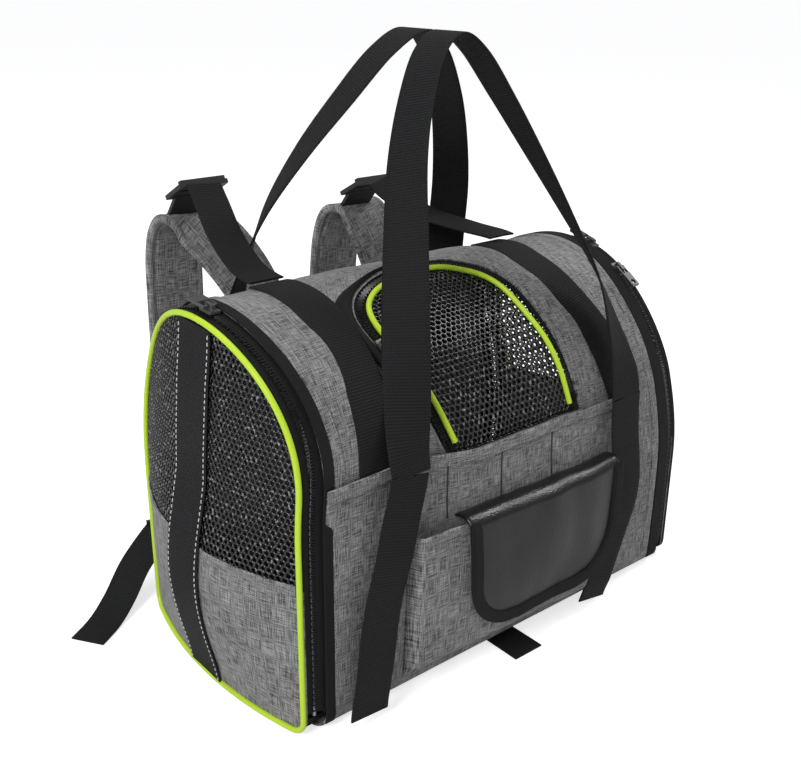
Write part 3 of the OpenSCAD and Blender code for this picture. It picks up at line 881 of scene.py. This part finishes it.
def flap_points(columns=60):
    """The flap's outer face as rows of points, and the distance down it of each row."""
    side = flap_profile()
    s = run_length(side)
    below = np.clip(s - (s[-1] - FLAP_R), 0, FLAP_R)
    half = FLAP_W / 2 - FLAP_R + np.sqrt(np.maximum(FLAP_R * FLAP_R - below ** 2, 0))
    across = np.linspace(-1, 1, columns)
    x = FLAP_X0 + FLAP_W / 2 + half[:, None] * across[None, :]
    y = np.repeat(side[:, :1], columns, 1)
    z = np.repeat(side[:, 1:], columns, 1)
    flat = np.stack([x.ravel(), np.full(x.size, PANEL_Y), np.minimum(z, 150).ravel()], 1)
    shift = (soft(flat) - flat)[:, 1].reshape(x.shape)
    y = y + shift - front_out(x, z) * smooth((155 - z) / 10)
    return np.stack([x, y, z], -1), s


def flap():
    points, s = flap_points()
    uv = np.stack([points[..., 0], np.repeat(s[:, None], points.shape[1], 1)], -1)
    obj = grid("flap_leatherette", points, uv, LEATHER, 2.0)
    start, end = (0, -0.134, 0.152), (0, -0.1405, 0.143)
    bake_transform(obj)
    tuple(start)
    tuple(end)
    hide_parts("flap_leather", "flap_fold")
    first = 22  # the binding starts on this row, below the fold
    rim = np.vstack([points[first:, 0], points[-1, 1:-1], points[::-1, -1][:-first]])
    rim[:, 1] -= 1.0
    inner = np.array([FLAP_X0 + FLAP_W / 2, -141.0, 112.0])
    across = unit(inner - rim)
    across[:, 1] = 0
    rim = rim + across * 4.5
    keep = np.concatenate([[True], np.linalg.norm(np.diff(rim, axis=0), axis=1) > 0.6])
    binding = sweep("flap_binding_tape", rim[keep], across[keep], ribbon(12, 4.6), TAPE)
    settle(binding, "flap", "zip_tape", "flap_binding")


flap()
repaint("pocket_loop_tape", TAPE)
repaint("flap_hook_tape", TAPE)


# ---------- webbing ----------
def turned_band(name, route, width, thick):
    """Band along a CAD route of x, y, z and turn."""
    line = spline(route, 12)
    angle = np.radians(line[:, 3])
    across = np.stack([np.cos(angle), -np.sin(angle), np.zeros_like(angle)], 1)
    return sweep(name, line[:, :3], across, ribbon(width, thick), WEB)


def flat_band(name, points, across, width):
    return sweep(name, spline(points, 10), across, ribbon(width, STRAP_T), WEB)


FRONT_HALF = [[-LEG_X, LOOP_Y, 204, 0], [-130, -131, 226, 6], [-122, -119, 260, 26],
              [-107, -99, 305, 48], [-86, -73, 360, 64], [-66, -50, 410, 76], [-45, -34, 452, 84],
              [-23, -24, 486, 88]]
REAR_HALF = [[-LEG_X, 121, 204, 0], [-129, 122, 226, -6], [-124, 116, 262, -26],
             [-116, 105, 308, -44], [-104, 88, 356, -60], [-82, 66, 404, -74], [-55, 44, 448, -84],
             [-27, 29, 484, -88]]
for name, half, sign in (("front_handle", FRONT_HALF, 1), ("rear_handle", REAR_HALF, -1)):
    route = half + [[0, -21 * sign, 500, 90 * sign]]
    route += [[-p[0], p[1], p[2], sign * 180 - p[3]] for p in half[::-1]]
    route = np.array(route, float)
    if sign > 0:
        route[:, 0] -= ROOT_IN * smooth(route[:, 0] / 60) * smooth((330 - route[:, 2]) / 110)
    settle(turned_band(name + "_web", route, LOOP_W, LOOP_T), name, "webbing", name)


def leg(node, centres, y):
    """Webbing sewn down the side, through the given (x, z), its bends eased."""
    z = np.linspace(LEG_LOW, LEG_TOP, 60)
    x = np.interp(z, [p[1] for p in centres], [p[0] for p in centres])
    x = np.convolve(np.pad(x, 6, mode="edge"), np.ones(13) / 13, mode="valid")
    flat = np.stack([x, np.full(60, np.sign(y) * 121.0), z], 1)
    hold = smooth((LEG_TOP - z) / 70)
    path = np.stack([x, y + (soft(flat) - flat)[:, 1] * hold, z], 1)
    settle(sweep(node + "_web", path, (1, 0, 0), ribbon(LOOP_W, LOOP_T), WEB), "shell", "webbing",
           node)


leg("front_leg_left", [(-170, LEG_LOW), (-158, 110), (-LEG_X, 203)], LOOP_Y)
leg("front_leg_right", [(84, LEG_LOW), (120, 110), (LEG_X - ROOT_IN, 203)], LOOP_Y)
leg("rear_leg_left", [(-LEG_X, LEG_LOW), (-LEG_X, 203)], REAR_LEG_Y)
leg("rear_leg_right", [(LEG_X, LEG_LOW), (LEG_X, 203)], REAR_LEG_Y)

for name, x, slant in (("top_web_left", -150, 0), ("top_web_right", 106, RIGHT_WEB_SLANT)):
    a = np.linspace(0, math.pi / 2 + 24 / 121, 90)
    r = 121.3
    path = soft(np.stack([x + slant * (1 - smooth(a / 1.5)), -r * np.cos(a),
                          ARCH_Z + r * np.sin(a)], 1))
    out = radial(path)
    across = unit(np.cross(out, tangents(path)))
    across *= np.sign(across[:, :1])
    web = sweep(name + "_web", path + out * 0.6, across, ribbon(LOOP_W, LOOP_T), WEB)
    settle(web, "shell", "webbing", name)

LIFTERS = {
    "left": [[-150, 18, 319], [-150, 27, 319.6], [-150, 48, 324], [-146, 84, 341],
             [-139, 116, 362], [-137, 131, 375]],
    "right": [[105, 18, 316], [104, 27, 317], [92, 52, 321], [72, 88, 330], [58, 114, 343],
              [51, 131, 356]]}
for side, points in LIFTERS.items():
    web = sweep("lifter_" + side + "_web", spline(points, 12), (1, 0, 0), ribbon(STRAP_W, LOOP_T),
                WEB)
    settle(web, "shell", "webbing", "lifter_web_" + side)

# ---------- shoulder straps ----------
LEFT = [[-77, 125.1, 200], [-78, 131.1, 235], [-90, 145, 280], [-112, 157, 317], [-131, 171, 338],
        [-136, 184, 329], [-138, 191, 302], [-139, 192, 262], [-141, 190, 215], [-145, 188, 165],
        [-152, 184, 118], [-160, 178, 76]]
RIGHT = [[72, 125.1, 200], [72, 131.1, 235], [68, 143, 272], [61, 153, 303], [55, 168, 323],
         [49, 184, 318], [44, 191, 295], [40, 192, 258], [36, 190, 215], [30, 188, 165],
         [22, 184, 118], [14, 178, 76]]


def pad_section():
    """Crowned section of a shoulder pad, with a stitched groove near each edge."""
    h, r = PAD_HALF_W, PAD_HALF_T
    top = [(w, r + 0.7 * (1 - (w / h) ** 2) - 1.0 * math.exp(-((abs(w) - 21) / 1.3) ** 2))
           for w in np.linspace(-h + 2, h - 2, 41)]
    bottom = [(w, -z) for w, z in top[::-1]]
    edge = [(h - 0.6, 2.4), (h, 0), (h - 0.6, -2.4)]
    return top + edge + bottom + [(-w, -z) for w, z in edge]


for side, route in (("left", LEFT), ("right", RIGHT)):
    # the pads take the lighter copy of the grey, painted light
    pad = sweep(side + "_pad_cloth", spline(route, 10), (1, 0, 0), pad_section(), LIT_GREY_PAD,
                sharp=60)
    settle(pad, side + "_strap", "heather_fabric", side + "_strap_pad")

LEFT_TAIL = [[-180, 166, 50, 30], [-198, 160, 42, 52], [-222, 151, 27, 57], [-246, 135, 11, 58],
             [-268, 120, 2.4, 58], [-292, 104, 1.2, 58]]
RIGHT_TAIL = [[-6, -108, 1.2], [-6, -125, 1.2], [-6, -147, 1.2]]
settle(turned_band("left_tail_strap", LEFT_TAIL, STRAP_W, STRAP_T), "left_strap", "webbing",
       "left_tail_web")
settle(flat_band("right_tail_strap", RIGHT_TAIL, (1, 0, 0), STRAP_W), "shell", "webbing",
       "right_tail_web")
for side, points in (("left", [(-112, 120.9), (-136, 126.7), (-156, 140.7), (-166, 154.7)]),
                     ("right", [(64, 120.9), (44, 126.7), (26, 142.7), (16, 160.7)])):
    path = [[x, y, ANCHOR_Z] for x, y in points]
    band = flat_band(side + "_anchor_strap", path, (0, 0, 1), ANCHOR_W)
    settle(band, "shell", "webbing", side + "_anchor_web")

# ---------- locks, sliders and pulls ----------
for which in ("left_lifter_lock", "right_lifter_lock", "left_lower_lock", "right_lower_lock"):
    repaint(which, PLASTIC)
    round_edges(NODES[which], 0.7)


def moved_with_cloth(node, at, move):
    """Copy of a zip slider or pull, carried to where the cloth under it lies."""
    v, f = cad_arrays(node)
    shift = (move([at]) - np.array([at]))[0]
    obj = build(node + "_part", v + shift, f, v[:, :2], METAL, 30)
    round_edges(obj, 0.35)
    settle(obj, node, "slider_metal", node)


for pattern, at, move in (("near_{}", [-223.9, -6.2, 318.9], slump),
                          ("far_{}_front", [218.3, -66.6, 298.7], slump),
                          ("far_{}_back", [222.9, -28.8, 315.6], slump),
                          ("window_{}", [-90.7, -83.7, 286.7], soft)):
    moved_with_cloth(pattern.format("slider"), at, move)
    moved_with_cloth(pattern.format("pull"), at, move)


# ---------- floor, light and camera ----------
def camera_only(tree, seen, unseen):
    """A shader that is seen by the camera, and another one that lights the scene."""
    ray, pick = tree.nodes.new("ShaderNodeLightPath"), tree.nodes.new("ShaderNodeMixShader")
    tree.links.new(ray.outputs["Is Camera Ray"], pick.inputs["Fac"])
    tree.links.new(unseen, pick.inputs[1])
    tree.links.new(seen, pick.inputs[2])
    return pick.outputs["Shader"]


def glow(tree, kind, color, strength):
    """An emission or background node's output."""
    node = tree.nodes.new("ShaderNode" + kind)
    node.inputs["Color"].default_value = (*color, 1)
    node.inputs["Strength"].default_value = strength
    return node.outputs[kind]


def floor_material():
    """White floor that takes shadows, with a glow that only the camera sees."""
    s = Shader("white floor", (0.80, 0.80, 0.81), 0.85, gloss=0.1)
    both = s.tree.nodes.new("ShaderNodeAddShader")
    only = camera_only(s.tree, glow(s.tree, "Emission", (1, 1, 1), 0.68),
                       glow(s.tree, "Emission", (0, 0, 0), 0.0))
    s.tree.links.new(s.base.outputs["BSDF"], both.inputs[0])
    s.tree.links.new(only, both.inputs[1])
    s.tree.links.new(both.outputs["Shader"], s.tree.nodes["Material Output"].inputs["Surface"])
    return s.mat


bpy.ops.mesh.primitive_plane_add(size=60, location=(0, 0, 0))
floor = bpy.context.object
floor.name = "floor"
floor.data.materials.append(floor_material())

world = bpy.data.worlds.new("studio")
bpy.context.scene.world = world
world.use_nodes = True
tree = world.node_tree
white = glow(tree, "Background", (0.99, 0.99, 1), 1.05)
light = glow(tree, "Background", (0.97, 0.98, 1), 0.38)
tree.links.new(camera_only(tree, white, light), tree.nodes["World Output"].inputs["Surface"])


def lamp(name, where, at, size, power):
    """Round area lamp at a place in metres, pointing at another."""
    data = bpy.data.lights.new(name, "AREA")
    data.shape = "DISK"
    data.size = size
    data.energy = power
    obj = bpy.data.objects.new(name, data)
    bpy.context.scene.collection.objects.link(obj)
    obj.location = where
    obj.rotation_mode = "QUATERNION"
    obj.rotation_quaternion = (Vector(at) - Vector(where)).to_track_quat("-Z", "Y")


lamp("key", (-2.1, -0.9, 1.7), (0, 0, 0.15), 0.8, 33)
lamp("sky", (-0.3, 0.9, 2.3), (0, 0, 0.2), 1.2, 9)
lamp("rim", (1.5, -0.45, 2.0), (0, 0, 0.2), 0.7, 14)

# Fitted to the photograph, with the carrier's proportions held fixed.
AZIMUTH, ELEVATION, ROLL = math.radians(-39.8), math.radians(21.5), math.radians(0.5)
TARGET, DISTANCE, LENS = (16.5, 54.6, 185.1), 0.988, 47.15

camera = bpy.data.cameras.new("camera")
camera.lens = LENS
camera.sensor_width = 36
camera.clip_start, camera.clip_end = 0.01, 60
eye = bpy.data.objects.new("camera", camera)
bpy.context.scene.collection.objects.link(eye)
bpy.context.scene.camera = eye
level = math.cos(ELEVATION)
behind = Vector((math.sin(AZIMUTH) * level, -math.cos(AZIMUTH) * level, math.sin(ELEVATION)))
eye.location = Vector(TARGET) * MM + behind * DISTANCE
look = (-behind).to_track_quat("-Z", "Y").to_matrix().to_4x4()
eye.rotation_mode = "QUATERNION"
eye.rotation_quaternion = (look @ Matrix.Rotation(ROLL, 4, "Z")).to_quaternion()

bpy.context.scene.view_settings.view_transform = "Standard"
